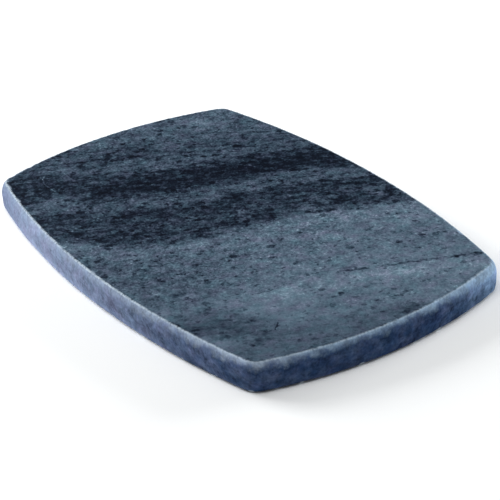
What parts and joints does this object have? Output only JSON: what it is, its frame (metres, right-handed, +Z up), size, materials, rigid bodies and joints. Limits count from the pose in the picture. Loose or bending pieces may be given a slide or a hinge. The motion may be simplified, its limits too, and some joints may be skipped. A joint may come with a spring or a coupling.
{
  "type": "massage stone",
  "caption": "Flat stone slab with a pillow-shaped outline and soft edges, warmed or chilled and laid on the body for massage.",
  "frame": {"origin": "centre of the flat underside that the stone lies on", "axes": "+X along the stone's length, +Y across its width, +Z up out of the flat top face"},
  "size_m": [0.15, 0.102, 0.009],
  "materials": {
    "honed_stone": "matte"
  },
  "bodies": {
    "root": {"massage_stone": "honed_stone"}
  },
  "joints": []
}
